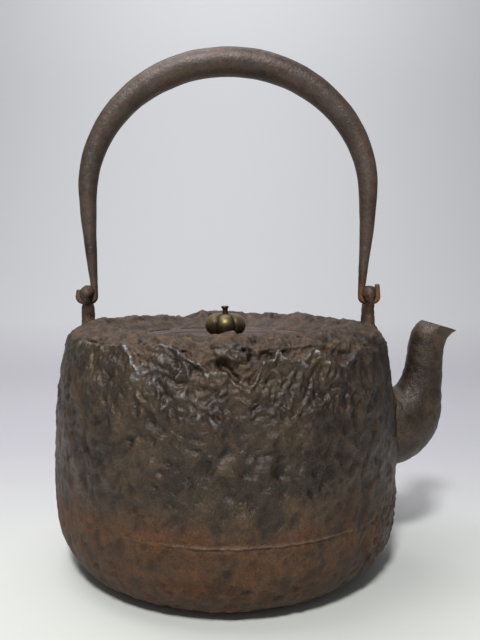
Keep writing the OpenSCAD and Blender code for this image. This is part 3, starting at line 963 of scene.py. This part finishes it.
points, values = knobOutline()
bm = turned(points, values, knobShape["around"])
crown = layer(bm, "crown")
middle, half = (knobShape["low"] + knobShape["high"]) / 2, (knobShape["high"] - knobShape["low"]) / 2
for v in bm.verts:
    radius = math.hypot(v.co.x, v.co.y)
    if radius < knobShape["bore"] + 0.05:
        v[crown] = 0
        continue
    a = math.atan2(v.co.x, -v.co.y)
    wave = abs(math.cos(knobShape["lobes"] / 2 * a))  # 1 on a lobe, 0 in a groove
    fullness = wave ** 0.55
    height = (v.co.z - middle) / half
    grow = 1 - knobShape["groove"] * (1 - fullness)
    v.co.x *= grow
    v.co.y *= grow
    v.co.z = middle + (v.co.z - middle) * (1 - 0.12 * (1 - fullness))
    v[crown] = fullness * smooth(-0.9, 0.5, height)
finishPiece(bm, "lobedKnob", "knob", "brass", knobBrass, "knob")

# a seat with five round petals, under the knob
seat = {"petal": 2.1, "ring": 4.1, "petals": 5}
bm = bmesh.new()
bmesh.ops.create_circle(bm, cap_ends=False, radius=seat["ring"], segments=90)
for v in bm.verts:
    a = math.atan2(v.co.y, v.co.x)
    off = abs(((a * seat["petals"] / (2 * math.pi)) % 1) - 0.5) * 2  # 1 at a petal's middle
    grow = (seat["ring"] + seat["petal"] * math.sqrt(max(1 - (1 - off) ** 2 * 1.25, 0))) / seat["ring"]
    v.co.x *= grow
    v.co.y *= grow
    v.co.z = seatLow.z
sheet = bmesh.ops.contextual_create(bm, geom=bm.verts[:])["faces"]
bmesh.ops.inset_region(bm, faces=sheet, thickness=0.3)
raised = bmesh.ops.extrude_face_region(bm, geom=bm.faces[:])
raisedPoints = [g for g in raised["geom"] if isinstance(g, bmesh.types.BMVert)]
bmesh.ops.translate(bm, vec=(0, 0, seatHigh.z - seatLow.z), verts=raisedPoints)
bmesh.ops.recalc_face_normals(bm, faces=bm.faces)
crown = layer(bm, "crown")
for v in bm.verts:
    v[crown] = 0.5
finishPiece(bm, "petalSeat", "lid", "brass", plainBrass, "knob_seat", flatShade=True)

# the pin: its head is the knob's stalk, and its legs open under the lid
pin = {
    "shaft": 1.1, "stalk": 1.25, "flare": 1.7, "flareT": 0.7, "legL": pinHigh.x, "legW": 1.7, "legT": 0.8,
    "stalkFoot": 105.6, "lean": 0.25,
}
foot, tip, stalk, flare = pin["stalkFoot"], pinHigh.z, pin["stalk"], pin["flare"]
stalkRings = [
    (pinLow.z + 0.1, pin["shaft"]), (foot - 0.2, pin["shaft"]), (foot, stalk * 1.1), (foot + 1, stalk),
    (tip - 2, stalk * 0.92), (tip - 1.2, stalk), (tip - pin["flareT"], flare), (tip - 0.25, flare),
    (tip, flare * 0.7),
]
bm = bmesh.new()
stalkPoints = [Vector((-pin["lean"] * smooth(foot, tip, z), 0, z)) for z, r in stalkRings]
stalkRadii = [r for z, r in stalkRings]
sweepBar(bm, stalkPoints, stalkRadii, 24)
legs = bmesh.ops.create_cube(bm, size=1)["verts"]
bmesh.ops.scale(bm, vec=(pin["legL"] * 2, pin["legW"], pin["legT"]), verts=legs)
bmesh.ops.translate(bm, vec=(0, 0, pinLow.z + pin["legT"] / 2), verts=legs)
legEdges = list({e for v in legs for e in v.link_edges})
bmesh.ops.bevel(
    bm, geom=legEdges, offset=0.2, offset_type="OFFSET", affect="EDGES", segments=2, profile=0.5, material=-1)
finishPiece(bm, "knobPin", "lid", "brass", plainBrass, "knob_pin")
print("fittings made")


# Stage, lights and camera
stage = {
    "front": -1.6, "back": 0.72, "sweep": 0.5, "wallTop": 1.9, "halfWidth": 2.2,
    "floor": "#d2d3c9", "far": "#bab8bb", "wall": "#c8c8c6", "boardStart": -0.12, "boardEnd": 0.2,
}
bm = bmesh.new()
profile = [(stage["front"], 0.0), (0.0, 0.0), (stage["back"] - stage["sweep"] / 2, 0.0)]
for k in range(1, 17):
    a = math.pi / 2 * k / 16
    profile.append((stage["back"] + stage["sweep"] * (math.sin(a) - 0.5), stage["sweep"] * (1 - math.cos(a))))
profile.append((stage["back"] + stage["sweep"] / 2, stage["wallTop"]))
for p in profile:
    bm.verts.new((-stage["halfWidth"], p[0], p[1]))
bm.verts.ensure_lookup_table()
for k in range(len(profile) - 1):
    bm.edges.new((bm.verts[k], bm.verts[k + 1]))
grown = bmesh.ops.extrude_edge_only(bm, edges=bm.edges[:])["geom"]
grownPoints = [g for g in grown if isinstance(g, bmesh.types.BMVert)]
bmesh.ops.translate(bm, vec=(2 * stage["halfWidth"], 0, 0), verts=grownPoints)
bmesh.ops.recalc_face_normals(bm, faces=bm.faces)
for f in bm.faces:
    f.smooth = True
mesh = bpy.data.meshes.new("paperSweep")
bm.to_mesh(mesh)
bm.free()
# Matt paper sweep, whiter on the board in front and a little cooler up the wall
paper, tree = newMaterial("mattBackgroundPaper")
split = addNode(tree, "SeparateXYZ", {"Vector": objectPlace(tree)})
start, end = stage["boardStart"], stage["boardEnd"]
away = ranged(tree, split.outputs["Y"], start, end, interpolation_type="SMOOTHSTEP")
up = ranged(tree, split.outputs["Z"], 0.0, 0.05)
floorTone = tinted(tree, away, linear(stage["floor"]), linear(stage["far"]))
paperTone = tinted(tree, up, floorTone, linear(stage["wall"]))
finishMaterial(tree, {"Base Color": paperTone, "Roughness": 0.85})
mesh.materials.append(paper)
paperSweep = bpy.data.objects.new("paperSweep", mesh)
bpy.context.scene.collection.objects.link(paperSweep)

lights = {
    # name: place, aimed at, width and height in metres, watts, colour
    "frontSoftbox": ((-0.08, -0.55, 0.72), (0, -0.03, 0.1), 0.11, 0.11, 7.1, "#f8faff"),
    "topSoftbox": ((-0.28, 0.0, 0.88), (0, 0.02, 0.05), 0.46, 0.42, 3.0, "#fcfcff"),
    "wallGlow": ((0.0, 0.4, 0.95), (-0.03, 0.95, 0.25), 0.7, 0.3, 4.4, "#f7f7ff"),
}
for name, (place, aim, width, height, watts, colour) in lights.items():
    data = bpy.data.lights.new(name, "AREA")
    data.shape, data.size, data.size_y = "RECTANGLE", width, height
    data.energy, data.color = watts, linear(colour)[:3]
    lamp = bpy.data.objects.new(name, data)
    lamp.location = place
    lamp.rotation_mode = "QUATERNION"
    lamp.rotation_quaternion = (Vector(aim) - Vector(place)).to_track_quat("-Z", "Y")
    lamp.visible_camera = False
    bpy.context.scene.collection.objects.link(lamp)

room = {"colour": "#dfe2ea", "strength": 0.27}
world = bpy.data.worlds.new("softRoom")
world.use_nodes = True
sky = world.node_tree.nodes["Background"]
sky.inputs["Color"].default_value = linear(room["colour"])
sky.inputs["Strength"].default_value = room["strength"]
bpy.context.scene.world = world
bpy.context.scene.view_settings.view_transform = "Standard"

cameraSettings = {
    "place": (0, -0.280, 0.1235), "pitch": 4.1, "lens": 35.45, "sensor": 36, "shift": 14.5 / 640,
}
cameraData = bpy.data.cameras.new("viewCamera")
cameraData.lens, cameraData.sensor_width = cameraSettings["lens"], cameraSettings["sensor"]
cameraData.shift_x = cameraSettings["shift"]
cameraData.clip_start = 0.01
camera = bpy.data.objects.new("viewCamera", cameraData)
camera.location = cameraSettings["place"]
camera.rotation_euler = (math.radians(90 - cameraSettings["pitch"]), 0, 0)
bpy.context.scene.collection.objects.link(camera)
bpy.context.scene.camera = camera
print("stage, lights and camera set")
